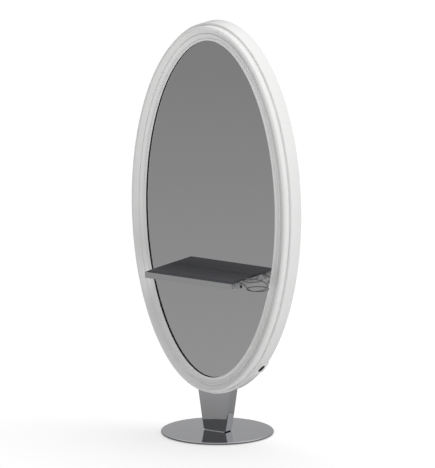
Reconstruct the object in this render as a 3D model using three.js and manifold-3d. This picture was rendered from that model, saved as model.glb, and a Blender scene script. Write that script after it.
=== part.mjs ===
// Floor-standing salon styling mirror: an oval mirror in a deep lacquered moulding, with a small shelf,
// a swivelling wire holder for a hair dryer and a mains socket, on a chromed pedestal and a round base.
// Millimetres, +Z up. The front faces -Y. The origin is on the floor, under the middle of the base.
import * as THREE from 'three';
import { mergeVertices } from 'three/addons/utils/BufferGeometryUtils.js';
import Module from 'manifold-3d';

const wasm = await Module();
wasm.setup();

// ---- driving dimensions -------------------------------------------------------------------------
const GAP = 0.3;                       // clearance between touching pieces

const OVAL_CENTRE_Z = 1124.5;           // height of the middle of the oval
const OVAL_HALF_WIDTH = 460;           // outer face of the side band
const OVAL_HALF_HEIGHT = 921;
const OVAL_STEPS = 64;

const BAND_THICK = 11;                 // bent side band
const BAND_FRONT = -44;
const BAND_BACK = 44;

const MOULDING_BACK = -40.3;           // seat of moulding and slip on the board
const CREST_Y = -85;                   // foremost line of the moulding
const CREST_START_Y = -77;
const CREST_WIDTH = 14;
const GROOVE_INSET = 48.5;             // V-groove between moulding and slip
const GROOVE_Y = -69;
const GROOVE_HALF = 1.3;
const GROOVE_DEPTH = 2.2;
const BEAD_RADIUS = 3;
const BEAD_RISE = 2.4;
const COVE_END = 73;
const COVE_END_Y = -60.5;
const COVE_HOLLOW = 2.2;
const LIP_INSET = 84.5;                // sight edge of the mirror
const LIP_BACK = -61;
const LIP_FRONT = -65.5;
const REBATE_INSET = 76.5;

const GLASS_FRONT = -54;
const GLASS_THICK = 5;
const BOARD_FRONT = -40;
const BOARD_THICK = 18;
const BOARD_BACK = BOARD_FRONT + BOARD_THICK;

const COVER_FRONT = 36;
const COVER_THICK = 4;
const COVER_BACK = COVER_FRONT + COVER_THICK;
const BATTEN_FRONT = 16;
const BATTEN_INSET = 36;

const MAST_HALF_WIDTH = 50;
const MAST_FRONT = -17;
const MAST_BACK = 23;
const MAST_WALL = 3;
const MAST_TOP = 1560;

const BASE_RADIUS = 275;
const BASE_TOP = 12;
const BASE_UNDERSIDE = 2;
const FOOT_PLATE_THICK = 12;

const PEDESTAL_HALF_WIDTH = 65;        // at the base
const PEDESTAL_FLARE = 0.162;          // growth of the half width per millimetre of height
const PEDESTAL_FRONT = -27;
const PEDESTAL_BACK = 33;
const PEDESTAL_WALL = 3;
const PEDESTAL_CORNER = 8;
const PEDESTAL_RELIEF = 5;              // the side walls stop this far above the base

const SHELF_HALF_WIDTH = 238.6;
const SHELF_FRONT = -236;
const SHELF_REAR = -54.6;
const SHELF_TOP_Z = 827;
const SLAB_THICK = 12.5;
const TRAY_LEFT = -266;                // the tray runs past the slab here, as an open tool gutter
const TRAY_RIGHT = 240;
const TRAY_HEIGHT = 29.7;
const TRAY_WALL = 2.3;
const SHELF_BOLT_X = 150;
const SHELF_BOLT_Z = 800;

const PIN_X = 268;                     // swivel pin of the dryer holder
const PIN_Y = -198;
const PIN_RADIUS = 3;
const LUG_HALF = 8;
const BRACKET_HALF = 35;
const BRACKET_BOTTOM = 788;
const BRACKET_TOP = 812.8;
const BRACKET_THICK = 6;
const LUG_THICK = 5;
const HUB_RADIUS = 6;
const HUB_HEIGHT = 8.9;
const KNOB_RADIUS = 5.8;
const KNOB_HEIGHT = 14.5;
const LOWER_RING = { x: 332, y: -147, z: 786, radius: 53.5 };
const UPPER_RING = { x: 302, y: -147, z: 826, radius: 46 };
const RISE_START = 1;                  // the wire climbs between these turns
const RISE_END = 1.75;
const COIL_TURNS = 2.4;
const LEAD_DROP = 32.4;                // the wire leaves the hub this much above the lower ring
const LEAD_LEVEL = 11;                 // stays level past the lug
const LEAD_SETTLE = 55;                // then comes down over this length
const WIRE_RADIUS = 2.5;

const SOCKET_ANGLE = THREE.MathUtils.degToRad(56.9);   // down from the +X end of the oval
const SOCKET_Y = 4;
const WELL_RADIUS = 20.6;
const WELL_WALL = 1.6;
const WELL_DEPTH = 17;
const BOX_HALF = 22.9;
const BOX_DEPTH = 40;

const INLET_X = -110;
const INLET_Z = 330;

// ---- finishes -----------------------------------------------------------------------------------
const finish = (color, roughness, metalness) =>
  new THREE.MeshStandardMaterial({ color, roughness, metalness });
const lacquer = () => finish(0xe9e9e8, 0.22, 0.0);
const chrome = () => finish(0xb9bbbe, 0.08, 1.0);
const brushedSteel = () => finish(0x8f9092, 0.3, 1.0);
const blackSteel = () => finish(0x26272a, 0.5, 0.6);
const zincSteel = () => finish(0x9c9ea0, 0.4, 0.9);
const rubber = () => finish(0x151515, 0.85, 0.0);
const fibreboard = () => finish(0x9a7b57, 0.9, 0.0);
const whitePlastic = () => finish(0xededeb, 0.35, 0.0);
const greyPlastic = () => finish(0x3b3c3e, 0.45, 0.0);
const silvered = () => finish(0x8e9092, 0.03, 1.0);
const darkLaminate = () => finish(0x47484b, 0.45, 0.0);

// ---- helpers ------------------------------------------------------------------------------------
const model = new THREE.Group();

function closed(geometry) {
  const bare = geometry.index ? geometry.toNonIndexed() : geometry.clone();
  bare.deleteAttribute('normal');
  bare.deleteAttribute('uv');
  const merged = mergeVertices(bare, 1e-4);
  const place = merged.attributes.position;
  const index = merged.index.array;
  const kept = [];
  let volume = 0;
  const a = new THREE.Vector3();
  const b = new THREE.Vector3();
  const c = new THREE.Vector3();
  for (let i = 0; i < index.length; i += 3) {
    if (index[i] === index[i + 1] || index[i + 1] === index[i + 2] || index[i] === index[i + 2]) {
      continue;
    }
    kept.push(index[i], index[i + 1], index[i + 2]);
    a.fromBufferAttribute(place, index[i]);
    b.fromBufferAttribute(place, index[i + 1]);
    c.fromBufferAttribute(place, index[i + 2]);
    volume += a.dot(b.cross(c));
  }
  merged.setIndex(volume < 0 ? kept.reverse() : kept);
  return merged;
}

function toManifold(geometry) {
  const solid = closed(geometry);
  return new wasm.Manifold(new wasm.Mesh({
    numProp: 3,
    vertProperties: new Float32Array(solid.attributes.position.array),
    triVerts: new Uint32Array(solid.index.array),
  }));
}

function fromManifold(manifold) {
  const mesh = manifold.getMesh();
  const geometry = new THREE.BufferGeometry();
  geometry.setAttribute('position', new THREE.BufferAttribute(new Float32Array(mesh.vertProperties), 3));
  geometry.setIndex(new THREE.BufferAttribute(new Uint32Array(mesh.triVerts), 1));
  return geometry;
}

function cut(geometry, ...tools) {
  return fromManifold(tools.reduce((left, tool) => left.subtract(toManifold(tool)), toManifold(geometry)));
}

function join(first, ...others) {
  return fromManifold(others.reduce((whole, other) => whole.add(toManifold(other)), toManifold(first)));
}

function common(first, second) {
  return fromManifold(toManifold(first).intersect(toManifold(second)));
}

function add(name, geometry, material, parent = model) {
  const solid = closed(geometry);
  solid.computeVertexNormals();
  const mesh = new THREE.Mesh(solid, material);
  mesh.name = name;
  parent.add(mesh);
  return mesh;
}

// Point of the oval at an angle from the +X end, moved inwards by inset.
function ovalPoint(angle, inset) {
  const normal = new THREE.Vector2(Math.cos(angle) / OVAL_HALF_WIDTH, Math.sin(angle) / OVAL_HALF_HEIGHT);
  normal.normalize();
  return new THREE.Vector2(
    OVAL_HALF_WIDTH * Math.cos(angle) - inset * normal.x,
    OVAL_CENTRE_Z + OVAL_HALF_HEIGHT * Math.sin(angle) - inset * normal.y,
  );
}

// A ring that follows the oval: its section is a closed list of (inset, y) points.
function ovalRing(section) {
  const reach = 1000;
  const profile = section.map(([inset, y]) => new THREE.Vector2(reach - inset, y));
  profile.push(profile[0].clone());
  const ring = new THREE.LatheGeometry(profile, OVAL_STEPS);
  const place = ring.attributes.position;
  for (let i = 0; i < place.count; i += 1) {
    const x = place.getX(i);
    const z = place.getZ(i);
    const point = ovalPoint(Math.atan2(z, x), reach - Math.hypot(x, z));
    place.setXYZ(i, point.x, place.getY(i), point.y);
  }
  return ring;
}

// A flat oval sheet between two depths.
function ovalPlate(inset, front, back) {
  const outline = [];
  for (let i = 0; i < OVAL_STEPS; i += 1) {
    outline.push(ovalPoint((i / OVAL_STEPS) * 2 * Math.PI, inset));
  }
  return standing(new THREE.Shape(outline), front, back);
}

// Extrudes an outline drawn in X and Z between two depths.
function standing(shape, front, back) {
  const plate = new THREE.ExtrudeGeometry(shape, {
    depth: back - front,
    bevelEnabled: false,
    curveSegments: 3,
  });
  plate.rotateX(Math.PI / 2);
  plate.translate(0, back, 0);
  return plate;
}

function box(x0, x1, y0, y1, z0, z1) {
  const geometry = new THREE.BoxGeometry(x1 - x0, y1 - y0, z1 - z0);
  geometry.translate((x0 + x1) / 2, (y0 + y1) / 2, (z0 + z1) / 2);
  return geometry;
}

function roundedRectangle(halfWidth, halfHeight, radius, centreY = 0) {
  const shape = new THREE.Shape();
  shape.moveTo(halfWidth, centreY - halfHeight + radius);
  shape.absarc(halfWidth - radius, centreY + halfHeight - radius, radius, 0, Math.PI / 2, false);
  shape.absarc(radius - halfWidth, centreY + halfHeight - radius, radius, Math.PI / 2, Math.PI, false);
  shape.absarc(radius - halfWidth, centreY - halfHeight + radius, radius, Math.PI, 1.5 * Math.PI, false);
  shape.absarc(halfWidth - radius, centreY - halfHeight + radius, radius, 1.5 * Math.PI, 2 * Math.PI, false);
  return shape;
}

function roundHole(x, y, radius) {
  const hole = new THREE.Path();
  hole.absarc(x, y, radius, 0, 2 * Math.PI, true);
  return hole;
}

// A plain rod along Z from z0 to z1.
function rod(radius, z0, z1, sides = 12) {
  const geometry = new THREE.CylinderGeometry(radius, radius, z1 - z0, sides);
  geometry.rotateX(Math.PI / 2);
  geometry.translate(0, 0, (z0 + z1) / 2);
  return geometry;
}

// A screw along Z: the head's underside is at 0, the head stands up and the shank hangs down.
function screw(headRadius, headHeight, shankRadius, shankLength, sides = 10) {
  const profile = [
    new THREE.Vector2(0, headHeight),
    new THREE.Vector2(headRadius * 0.8, headHeight),
    new THREE.Vector2(headRadius, headHeight * 0.55),
    new THREE.Vector2(headRadius, 0),
    new THREE.Vector2(shankRadius, 0),
    new THREE.Vector2(shankRadius, -shankLength),
    new THREE.Vector2(0, -shankLength),
  ];
  const geometry = new THREE.LatheGeometry(profile, sides);
  geometry.rotateX(Math.PI / 2);
  return geometry;
}

// Turns a piece made along +Z to point along +Y, -Y, +X or -X, then moves it.
function aimed(geometry, direction, x, y, z) {
  const turn = new THREE.Quaternion().setFromUnitVectors(new THREE.Vector3(0, 0, 1), direction);
  geometry.applyQuaternion(turn);
  geometry.translate(x, y, z);
  return geometry;
}

const TO_BACK = new THREE.Vector3(0, 1, 0);
const TO_FRONT = new THREE.Vector3(0, -1, 0);
const TO_LEFT = new THREE.Vector3(-1, 0, 0);
const DOWN = new THREE.Vector3(0, 0, -1);

// ---- oval frame ---------------------------------------------------------------------------------
function mouldingSection() {
  const outer = BAND_THICK + GAP;
  const section = [[outer, MOULDING_BACK]];
  const crestSteps = 6;
  for (let i = 0; i <= crestSteps; i += 1) {
    const turn = (i / crestSteps) * (Math.PI / 2);
    const inset = outer + CREST_WIDTH * (1 - Math.cos(turn));
    section.push([inset, CREST_START_Y + (CREST_Y - CREST_START_Y) * Math.sin(turn)]);
  }
  section.push([GROOVE_INSET - GROOVE_HALF, GROOVE_Y], [GROOVE_INSET, GROOVE_Y + GROOVE_DEPTH]);
  section.push([GROOVE_INSET, MOULDING_BACK]);
  return section;
}

function slipSection() {
  const start = GROOVE_INSET + GAP;
  const section = [[start, MOULDING_BACK], [start, GROOVE_Y + GROOVE_DEPTH]];
  for (let i = 1; i <= 4; i += 1) {
    const turn = (i / 4) * Math.PI;
    section.push([start + BEAD_RADIUS * (1 - Math.cos(turn)), GROOVE_Y - BEAD_RISE * Math.sin(turn)]);
  }
  const coveStart = start + 2 * BEAD_RADIUS;
  for (let i = 1; i <= 4; i += 1) {
    const part = i / 4;
    const level = GROOVE_Y + (COVE_END_Y - GROOVE_Y) * part;
    section.push([coveStart + (COVE_END - coveStart) * part, level + COVE_HOLLOW * Math.sin(part * Math.PI)]);
  }
  const lipFlank = COVE_END + (LIP_INSET - COVE_END) * 0.35;
  const lipCrest = COVE_END + (LIP_INSET - COVE_END) * 0.6;
  section.push([lipFlank, (COVE_END_Y + 3 * LIP_FRONT) / 4], [lipCrest, LIP_FRONT]);
  section.push([LIP_INSET, LIP_FRONT + 1.5], [LIP_INSET, LIP_BACK]);
  section.push([REBATE_INSET, LIP_BACK], [REBATE_INSET, MOULDING_BACK]);
  return section;
}

function ringSection(outer, inner, front, back) {
  return [[outer, back], [outer, front], [inner, front], [inner, back]];
}

const socketPoint = ovalPoint(-SOCKET_ANGLE, 0);
const socketNormal = new THREE.Vector2(
  Math.cos(SOCKET_ANGLE) / OVAL_HALF_WIDTH,
  -Math.sin(SOCKET_ANGLE) / OVAL_HALF_HEIGHT,
).normalize();
const socketTurn = Math.atan2(socketNormal.x, socketNormal.y);

// Moves a piece drawn in the socket's own frame (+Z out of the band) into the model.
function atSocket(geometry) {
  geometry.rotateY(socketTurn);
  geometry.translate(socketPoint.x, SOCKET_Y, socketPoint.y);
  return geometry;
}

function mastSlot() {
  const room = 2;
  return box(-MAST_HALF_WIDTH - room, MAST_HALF_WIDTH + room, MAST_FRONT - room, MAST_BACK + room, 150, 300);
}

const coverScrewAngles = Array.from({ length: 8 }, (_, i) => ((i + 0.5) / 8) * 2 * Math.PI);
const coverScrewInset = 24;
const coverScrewHoles = () => coverScrewAngles.map((angle) => {
  const point = ovalPoint(angle, coverScrewInset);
  return aimed(rod(2.4, -18, 8, 8), TO_BACK, point.x, COVER_BACK, point.y);
});

function shelfBoltHoles(radius) {
  return [-1, 1].map((side) => aimed(rod(radius, -60, 60), TO_BACK, side * SHELF_BOLT_X, -40, SHELF_BOLT_Z));
}

const carrierScrews = [[-150, 480], [150, 480], [-150, 1500], [150, 1500]];
const carrierHoles = () => carrierScrews.map(
  ([x, z]) => aimed(rod(3.3, -18.5, 10, 10), TO_BACK, x, MAST_FRONT, z),
);

function buildOval() {
  const bandHole = atSocket(box(-23.5, 23.5, -23.5, 23.5, -30, 30));
  const band = ovalRing(ringSection(0, BAND_THICK, BAND_FRONT, BAND_BACK));
  add('side_band', cut(band, bandHole, mastSlot()), lacquer());
  add('outer_moulding', ovalRing(mouldingSection()), lacquer());
  add('inner_slip', ovalRing(slipSection()), lacquer());

  const edge = REBATE_INSET + GAP;
  const gasket = ringSection(edge, LIP_INSET - GAP, LIP_BACK + GAP, GLASS_FRONT - GAP);
  add('mirror_gasket', ovalRing(gasket), rubber());
  const glassBack = GLASS_FRONT + GLASS_THICK;
  add('mirror_glass', cut(ovalPlate(edge, GLASS_FRONT, glassBack), ...shelfBoltHoles(6)), silvered());
  const backing = ovalPlate(edge, glassBack + GAP, BOARD_FRONT - GAP);
  add('mirror_backing', cut(backing, ...shelfBoltHoles(5)), fibreboard());
  const board = ovalPlate(BAND_THICK + 2 * GAP, BOARD_FRONT, BOARD_BACK);
  add('carcass_board', cut(board, ...shelfBoltHoles(5), ...carrierHoles()), fibreboard());

  buildBattens();
  buildRearCover();
}

// The battens behind the rear cover are broken by the mast and by the socket box: one long piece runs
// round most of the oval and one short piece fills the stretch between the mast and the socket.
function buildBattens() {
  const socketNotch = atSocket(box(-32, 32, -60, 60, -60, 10));
  const section = ringSection(BAND_THICK + GAP, BATTEN_INSET, BATTEN_FRONT, COVER_FRONT - GAP);
  const batten = cut(ovalRing(section), socketNotch, mastSlot(), ...coverScrewHoles());
  const betweenMastAndSocket = box(0, socketPoint.x, 0, 60, 150, socketPoint.y);
  add('rear_batten_long', cut(batten, betweenMastAndSocket), fibreboard());
  add('rear_batten_short', common(batten, betweenMastAndSocket), fibreboard());
}

function buildRearCover() {
  const cover = ovalPlate(BAND_THICK + 2 * GAP, COVER_FRONT, COVER_BACK);
  const inletHole = box(INLET_X - 14.3, INLET_X + 14.3, 30, 50, INLET_Z - 10.3, INLET_Z + 10.3);
  add('rear_cover', cut(cover, inletHole, ...coverScrewHoles()), whitePlastic());
  coverScrewAngles.forEach((angle, i) => {
    const point = ovalPoint(angle, coverScrewInset);
    const piece = aimed(screw(4, 2.2, 2, 16), TO_BACK, point.x, COVER_BACK + GAP, point.y);
    add(`rear_cover_screw_${i + 1}`, piece, zincSteel());
  });
}

// ---- mast, carriers and base --------------------------------------------------------------------
function buildMast() {
  const centreY = (MAST_FRONT + MAST_BACK) / 2;
  const halfDepth = (MAST_BACK - MAST_FRONT) / 2;
  const section = roundedRectangle(MAST_HALF_WIDTH, halfDepth, 4, centreY);
  const hollow = roundedRectangle(MAST_HALF_WIDTH - MAST_WALL, halfDepth - MAST_WALL, 1.5, centreY);
  section.holes.push(new THREE.Path(hollow.getPoints(2)));
  const mastBottom = BASE_TOP + GAP + FOOT_PLATE_THICK + GAP;
  const tube = new THREE.ExtrudeGeometry(section, {
    depth: MAST_TOP - mastBottom,
    bevelEnabled: false,
    curveSegments: 2,
  });
  tube.translate(0, 0, mastBottom);
  add('mast', tube, blackSteel());

  const barFront = BOARD_BACK + GAP;
  const barBack = MAST_FRONT - GAP;
  [['carrier_bar_low', 480], ['carrier_bar_high', 1500]].forEach(([name, z]) => {
    add(name, cut(box(-180, 180, barFront, barBack, z - 15, z + 15), ...carrierHoles()), blackSteel());
  });
  const shelfBar = box(-200, 200, barFront, barBack, SHELF_BOLT_Z - 15, SHELF_BOLT_Z + 15);
  add('carrier_bar_shelf', cut(shelfBar, ...shelfBoltHoles(4.5)), blackSteel());
  carrierScrews.forEach(([x, z], i) => {
    add(`carrier_screw_${i + 1}`, aimed(screw(6, 3.5, 3, 17.5), TO_BACK, x, MAST_FRONT, z), zincSteel());
  });
}

const baseBolts = [[-30, -7], [30, -7], [-30, 13], [30, 13]];

function buildBase() {
  const rim = 3;
  const profile = [
    new THREE.Vector2(0, BASE_UNDERSIDE),
    new THREE.Vector2(BASE_RADIUS - rim, BASE_UNDERSIDE),
    new THREE.Vector2(BASE_RADIUS, BASE_UNDERSIDE + rim),
    new THREE.Vector2(BASE_RADIUS, BASE_TOP - rim),
    new THREE.Vector2(BASE_RADIUS - rim, BASE_TOP),
    new THREE.Vector2(0, BASE_TOP),
  ];
  const disc = new THREE.LatheGeometry(profile, 64);
  disc.rotateX(Math.PI / 2);
  const headSeat = 8;
  const counterbores = baseBolts.map(([x, y]) => rod(9.6, 0, headSeat, 12).translate(x, y, 0));
  const shankHoles = baseBolts.map(([x, y]) => rod(5.4, 0, 30, 10).translate(x, y, 0));
  add('base_disc', cut(disc, ...counterbores, ...shankHoles), chrome());

  const plate = box(-56, 56, -22, 28, BASE_TOP + GAP, BASE_TOP + GAP + FOOT_PLATE_THICK);
  add('mast_foot_plate', cut(plate, ...shankHoles), blackSteel());
  baseBolts.forEach(([x, y], i) => {
    const bolt = aimed(screw(9, 5.4, 5, 15), DOWN, x, y, headSeat - GAP);
    add(`base_bolt_${i + 1}`, bolt, zincSteel());
  });

  const padSection = [[235, 0], [262, 0], [262, BASE_UNDERSIDE - GAP], [235, BASE_UNDERSIDE - GAP], [235, 0]];
  const pad = new THREE.LatheGeometry(padSection.map(([r, z]) => new THREE.Vector2(r, z)), 64);
  add('base_pad_ring', pad.rotateX(Math.PI / 2), rubber());
}

// A straight tube whose width grows with height.
function flared(inset, z0, z1) {
  const halfDepth = (PEDESTAL_BACK - PEDESTAL_FRONT) / 2 - inset;
  const centreY = (PEDESTAL_BACK + PEDESTAL_FRONT) / 2;
  const shape = roundedRectangle(PEDESTAL_HALF_WIDTH - inset, halfDepth, PEDESTAL_CORNER - inset, centreY);
  const tube = new THREE.ExtrudeGeometry(shape, { depth: z1 - z0, bevelEnabled: false, curveSegments: 4 });
  tube.translate(0, 0, z0);
  const place = tube.attributes.position;
  for (let i = 0; i < place.count; i += 1) {
    const x = place.getX(i);
    place.setX(i, x + Math.sign(x) * PEDESTAL_FLARE * (place.getZ(i) - BASE_TOP));
  }
  return tube;
}

function buildPedestal() {
  const bottom = BASE_TOP + GAP;
  const above = 260;
  const underBand = ovalPlate(-0.6, -60, 60);
  const reliefs = [-1, 1].map((side) => {
    const inner = side * (PEDESTAL_HALF_WIDTH - PEDESTAL_CORNER);
    const outer = side * (PEDESTAL_HALF_WIDTH + PEDESTAL_CORNER);
    const top = bottom + PEDESTAL_RELIEF;
    return box(Math.min(inner, outer), Math.max(inner, outer), PEDESTAL_FRONT - 1, PEDESTAL_BACK + 1, 0, top);
  });
  const hollow = flared(PEDESTAL_WALL, bottom - 5, above + 5);
  const shell = cut(flared(0, bottom, above), hollow, underBand, ...reliefs);
  add('pedestal_shell', shell, chrome());
}

// ---- shelf --------------------------------------------------------------------------------------
function buildShelf() {
  const slabUnder = SHELF_TOP_Z - SLAB_THICK;
  const slab = box(-SHELF_HALF_WIDTH, SHELF_HALF_WIDTH, SHELF_FRONT, SHELF_REAR, slabUnder, SHELF_TOP_Z);
  add('shelf_top', slab, darkLaminate());

  const trayTop = slabUnder - GAP;
  const trayBottom = trayTop - TRAY_HEIGHT;
  const pocketFloor = trayBottom + TRAY_WALL;
  const front = SHELF_FRONT + TRAY_WALL;
  const rear = SHELF_REAR - TRAY_WALL;
  const partition = -SHELF_HALF_WIDTH;
  const tray = cut(
    box(TRAY_LEFT, TRAY_RIGHT, SHELF_FRONT, SHELF_REAR, trayBottom, trayTop),
    box(TRAY_LEFT + TRAY_WALL, partition - TRAY_WALL, front, rear, pocketFloor, trayTop + 5),
    box(partition + TRAY_WALL, TRAY_RIGHT - TRAY_WALL, front, rear, pocketFloor, trayTop + 5),
    ...shelfBoltHoles(4.5),
    ...holderScrewHoles(),
  );
  add('shelf_tray', tray, brushedSteel());

  [-1, 1].forEach((side, i) => {
    const bolt = aimed(screw(7, 5, 4, 48.5), TO_FRONT, side * SHELF_BOLT_X, rear - GAP, SHELF_BOLT_Z);
    add(`shelf_bolt_${i + 1}`, bolt, zincSteel());
    const nut = cut(new THREE.CylinderGeometry(7.5, 7.5, 6.5, 6), rod(4.3, -10, 10).rotateX(Math.PI / 2));
    nut.translate(side * SHELF_BOLT_X, MAST_FRONT + 3.25, SHELF_BOLT_Z);
    add(`shelf_nut_${i + 1}`, nut, zincSteel());
  });
}

// ---- dryer holder -------------------------------------------------------------------------------
const holderScrewZ = 797;
const holderScrewSpread = 24;
const holderScrewHoles = () => [-1, 1].map((side) => {
  const y = PIN_Y + side * holderScrewSpread;
  return aimed(rod(2.1, -7, 20, 8), TO_LEFT, TRAY_RIGHT - TRAY_WALL, y, holderScrewZ);
});

// A steel plate on the end of the tray with a lug: the wire's hub turns on it, the friction knob is under it.
function buildHolder(parent) {
  const plateOuter = TRAY_RIGHT + BRACKET_THICK;
  const plateFront = PIN_Y - BRACKET_HALF;
  const plateBack = PIN_Y + BRACKET_HALF;
  const lugUnder = BRACKET_TOP - LUG_THICK;
  const plate = box(TRAY_RIGHT + GAP, plateOuter, plateFront, plateBack, BRACKET_BOTTOM, BRACKET_TOP);
  const lug = box(plateOuter - 1, PIN_X, PIN_Y - LUG_HALF, PIN_Y + LUG_HALF, lugUnder, BRACKET_TOP);
  const lugEnd = rod(LUG_HALF, lugUnder, BRACKET_TOP, 32).translate(PIN_X, PIN_Y, 0);
  const bore = rod(PIN_RADIUS + GAP, 700, 900).translate(PIN_X, PIN_Y, 0);
  const bracket = join(plate, lug, lugEnd);
  add('holder_bracket', cut(bracket, bore, ...holderScrewHoles()), brushedSteel());
  [-1, 1].forEach((side, i) => {
    const y = PIN_Y + side * holderScrewSpread;
    const piece = aimed(screw(3.4, 2.4, 1.8, 6.5), TO_LEFT, TRAY_RIGHT - TRAY_WALL - GAP, y, holderScrewZ);
    add(`holder_screw_${i + 1}`, piece, zincSteel());
  });

  const hubTop = BRACKET_TOP + GAP + HUB_HEIGHT;
  const knobTop = lugUnder - GAP;
  const pinEnd = knobTop - KNOB_HEIGHT + 4;
  const pin = screw(5, 2.2, PIN_RADIUS, hubTop - pinEnd, 12).translate(PIN_X, PIN_Y, hubTop + GAP);
  add('holder_pin', pin, chrome());
  const knob = rod(KNOB_RADIUS, knobTop - KNOB_HEIGHT, knobTop, 16).translate(PIN_X, PIN_Y, 0);
  const socket = rod(PIN_RADIUS + GAP, pinEnd - 0.5, 900).translate(PIN_X, PIN_Y, 0);
  add('holder_knob', cut(knob, socket), greyPlastic());

  const hub = rod(HUB_RADIUS, BRACKET_TOP + GAP, hubTop, 16).translate(PIN_X, PIN_Y, 0);
  add('holder_coil', cut(join(hub, coilWire()), bore), chrome(), parent);
}

// The wire leaves the hub as a tangent of the lower ring, turns once round it, then climbs to the
// smaller upper ring and ends there.
function coilWire() {
  const across = LOWER_RING.x - PIN_X;
  const along = LOWER_RING.y - PIN_Y;
  const distance = Math.hypot(across, along);
  const leadLength = Math.sqrt(distance ** 2 - LOWER_RING.radius ** 2);
  const startAngle = Math.atan2(-along, -across) + Math.acos(LOWER_RING.radius / distance);
  const droop = (length) => {
    const share = Math.max(0, length - LEAD_LEVEL) / LEAD_SETTLE;
    return LEAD_DROP * Math.max(0, 1 - share) ** 1.5;
  };
  const blend = (from, to, share) => from + (to - from) * share;

  const points = [];
  for (const reach of [4.4, 11, 20, 32, 46]) {
    points.push(new THREE.Vector3(
      PIN_X - reach * Math.sin(startAngle),
      PIN_Y + reach * Math.cos(startAngle),
      LOWER_RING.z + droop(reach),
    ));
  }
  const stepsPerTurn = 18;
  const steps = Math.round(COIL_TURNS * stepsPerTurn);
  for (let i = 0; i <= steps; i += 1) {
    const turns = i / stepsPerTurn;
    const angle = startAngle + turns * 2 * Math.PI;
    const climb = THREE.MathUtils.smoothstep(turns, RISE_START, RISE_END);
    const radius = blend(LOWER_RING.radius, UPPER_RING.radius, climb ** 2);
    const settled = droop(leadLength + turns * 2 * Math.PI * radius);
    points.push(new THREE.Vector3(
      blend(LOWER_RING.x, UPPER_RING.x, climb ** 2) + radius * Math.cos(angle),
      blend(LOWER_RING.y, UPPER_RING.y, climb ** 2) + radius * Math.sin(angle),
      blend(LOWER_RING.z, UPPER_RING.z, climb) + settled,
    ));
  }
  const path = new THREE.CatmullRomCurve3(points);
  const section = new THREE.Shape();
  section.absarc(0, 0, WIRE_RADIUS, 0, 2 * Math.PI, false);
  return new THREE.ExtrudeGeometry(section, {
    steps: steps + 8,
    extrudePath: path,
    curveSegments: 4,
    bevelEnabled: false,
  });
}

// ---- mains socket and inlet ---------------------------------------------------------------------
function buildSocket() {
  const plateShape = roundedRectangle(35, 40, 9);
  plateShape.holes.push(roundHole(0, 0, WELL_RADIUS + 2 * GAP));
  const plate = new THREE.ExtrudeGeometry(plateShape, { depth: 4.6, bevelEnabled: false, curveSegments: 12 });
  plate.translate(0, 0, 0.4);
  add('socket_plate', atSocket(plate), whitePlastic());

  const floor = 2.2;
  const inner = WELL_RADIUS - WELL_WALL;
  const wellProfile = [[0, -WELL_DEPTH], [WELL_RADIUS, -WELL_DEPTH], [WELL_RADIUS, 4.6], [inner, 4.6],
    [inner, floor - WELL_DEPTH], [0, floor - WELL_DEPTH]];
  const well = new THREE.LatheGeometry(wellProfile.map(([r, z]) => new THREE.Vector2(r, z)), 28);
  well.rotateX(Math.PI / 2);
  const pinHoles = [-9.5, 9.5].map((x) => rod(2.5, -30, 0, 10).translate(x, 0, 0));
  add('socket_well', atSocket(cut(well, ...pinHoles)), greyPlastic());

  [-1, 1].forEach((side, i) => {
    const y = side * 17.8;
    const clip = box(-2, 2, y - 0.6, y + 0.6, floor - WELL_DEPTH + GAP, -3);
    add(`socket_earth_clip_${i + 1}`, atSocket(clip), zincSteel());
  });

  const wall = 1.9;
  const shell = cut(
    box(-BOX_HALF, BOX_HALF, -BOX_HALF, BOX_HALF, -BOX_DEPTH, -0.5),
    box(wall - BOX_HALF, BOX_HALF - wall, wall - BOX_HALF, BOX_HALF - wall, wall - BOX_DEPTH, 5),
  );
  add('socket_back_box', atSocket(shell), greyPlastic());
}

function buildInlet() {
  const flange = standing(roundedRectangle(25, 16, 3), COVER_BACK + GAP, COVER_BACK + 3);
  const body = standing(roundedRectangle(14, 10, 2), 14, COVER_BACK + 3);
  const hollow = standing(roundedRectangle(12, 8, 1.5), 24, 60);
  add('power_inlet', cut(join(flange, body), hollow).translate(INLET_X, 0, INLET_Z), greyPlastic());

  const boxEnd = new THREE.Vector3(
    socketPoint.x - (BOX_DEPTH + GAP) * socketNormal.x,
    SOCKET_Y,
    socketPoint.y - (BOX_DEPTH + GAP) * socketNormal.y,
  );
  const run = 30;
  const beforeBox = new THREE.Vector3(
    boxEnd.x - run * socketNormal.x,
    SOCKET_Y,
    boxEnd.z - run * socketNormal.y,
  );
  const path = new THREE.CatmullRomCurve3([
    new THREE.Vector3(INLET_X + 14 + GAP, 29, INLET_Z),
    new THREE.Vector3(-45, 29.5, INLET_Z),
    new THREE.Vector3(55, 29.5, INLET_Z + 4),
    new THREE.Vector3(125, 24, INLET_Z + 30),
    beforeBox,
    boxEnd,
  ]);
  const section = new THREE.Shape();
  section.absarc(0, 0, 3.5, 0, 2 * Math.PI, false);
  const lead = new THREE.ExtrudeGeometry(section, {
    steps: 28,
    extrudePath: path,
    curveSegments: 4,
    bevelEnabled: false,
  });
  add('socket_lead', lead, rubber());
}

buildOval();
buildMast();
buildBase();
buildPedestal();
buildShelf();
const dryerHolder = new THREE.Group();
model.add(dryerHolder);
buildHolder(dryerHolder);
buildSocket();
buildInlet();

export default model;
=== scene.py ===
"""Looks of a floor-standing salon styling mirror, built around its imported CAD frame. Metres, +Z up."""

import math

import bmesh
import bpy
from mathutils import Matrix, Vector


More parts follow.
